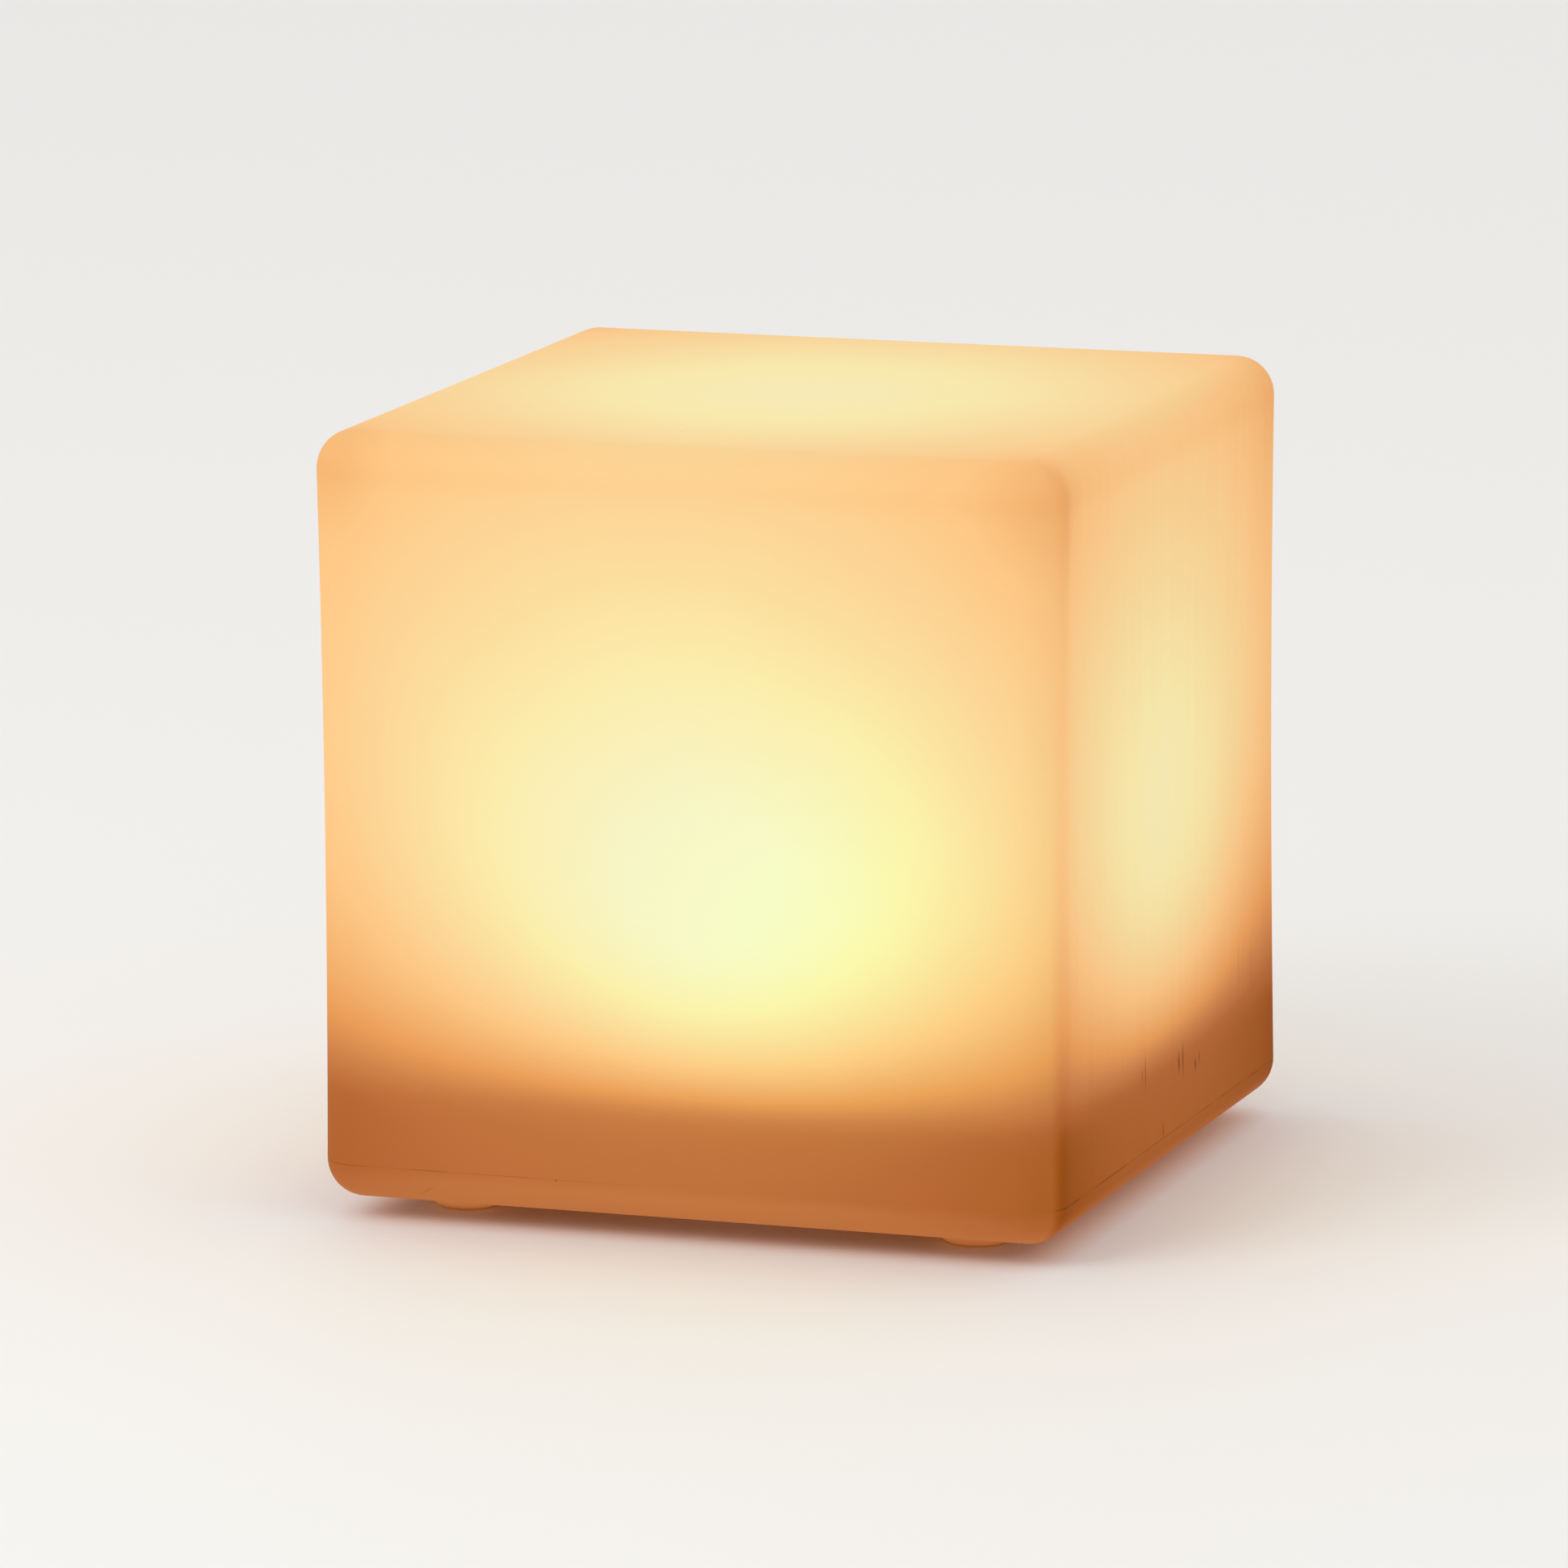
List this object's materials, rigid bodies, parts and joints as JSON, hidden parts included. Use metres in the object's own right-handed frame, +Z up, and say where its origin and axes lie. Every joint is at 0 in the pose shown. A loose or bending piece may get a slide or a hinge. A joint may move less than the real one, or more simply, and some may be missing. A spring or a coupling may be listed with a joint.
{
  "type": "LED cube light",
  "caption": "Glowing milky plastic cube with soft rounded edges on moulded round feet, lit from inside by a rechargeable lamp module screwed into its underside.",
  "frame": {"origin": "on the floor under the middle of the cube, at the centre of the bottom of the part's box", "axes": "+Z up, -Y out of the face that the picture shows most squarely, +X out of the face to its right"},
  "size_m": [0.3, 0.3, 0.308],
  "materials": {
    "milky_shell": "translucent milky polyethylene, satin, lit warm white from inside",
    "white_moulding": "white moulded plastic, fine satin",
    "brass": "turned brass",
    "steel": "plain stainless steel",
    "grey_silicone": "matt silicone rubber",
    "white_board": "white solder mask",
    "led_yellow": "phosphor under clear resin",
    "clear_cover": "clear polycarbonate",
    "cell_wrap": "blue shrink wrap",
    "nickel": "nickel strip",
    "green_board": "green solder mask",
    "black_plastic": "black moulded plastic",
    "red_plastic": "red wire insulation"
  },
  "bodies": {
    "lamp": {"cube_shell": "milky_shell", "shell_inserts": "brass", "module_base": "white_moulding", "flange_seal": "grey_silicone", "flange_screws": "steel", "led_board": "white_board", "led_chips": "led_yellow", "led_cover": "clear_cover", "battery_cells": "cell_wrap", "battery_tabs": "nickel", "battery_strap": "white_moulding", "control_board": "green_board", "power_coil": "black_plastic", "capacitor": "black_plastic", "controller_chip": "black_plastic", "charge_light": "clear_cover", "led_plug": "white_moulding", "tact_switches": "black_plastic", "charging_jack": "black_plastic", "jack_pin": "nickel", "charge_light_pipe": "clear_cover", "bung_anchor": "grey_silicone", "led_lead": "red_plastic", "battery_lead_red": "red_plastic", "battery_lead_black": "black_plastic"},
    "power_button": {"power_button": "grey_silicone", "power_plunger": "black_plastic"},
    "mode_button": {"mode_button": "grey_silicone", "mode_plunger": "black_plastic"},
    "port_bung": {"port_bung": "grey_silicone"}
  },
  "joints": [
    {"name": "power_press", "type": "slide", "parent": "lamp", "child": "power_button", "axis": [0, 0, 1], "range_m": [0, 0.001], "stiffness_N_per_m": 1500, "springref_m": -0.0003},
    {"name": "mode_press", "type": "slide", "parent": "lamp", "child": "mode_button", "axis": [0, 0, 1], "range_m": [0, 0.001], "stiffness_N_per_m": 1500, "springref_m": -0.0003},
    {"name": "bung_swing", "type": "hinge", "parent": "lamp", "child": "port_bung", "pos_m": [0.0222, -0.027, 0.0153], "axis": [0, -1, 0], "range_deg": [0, 95]}
  ]
}
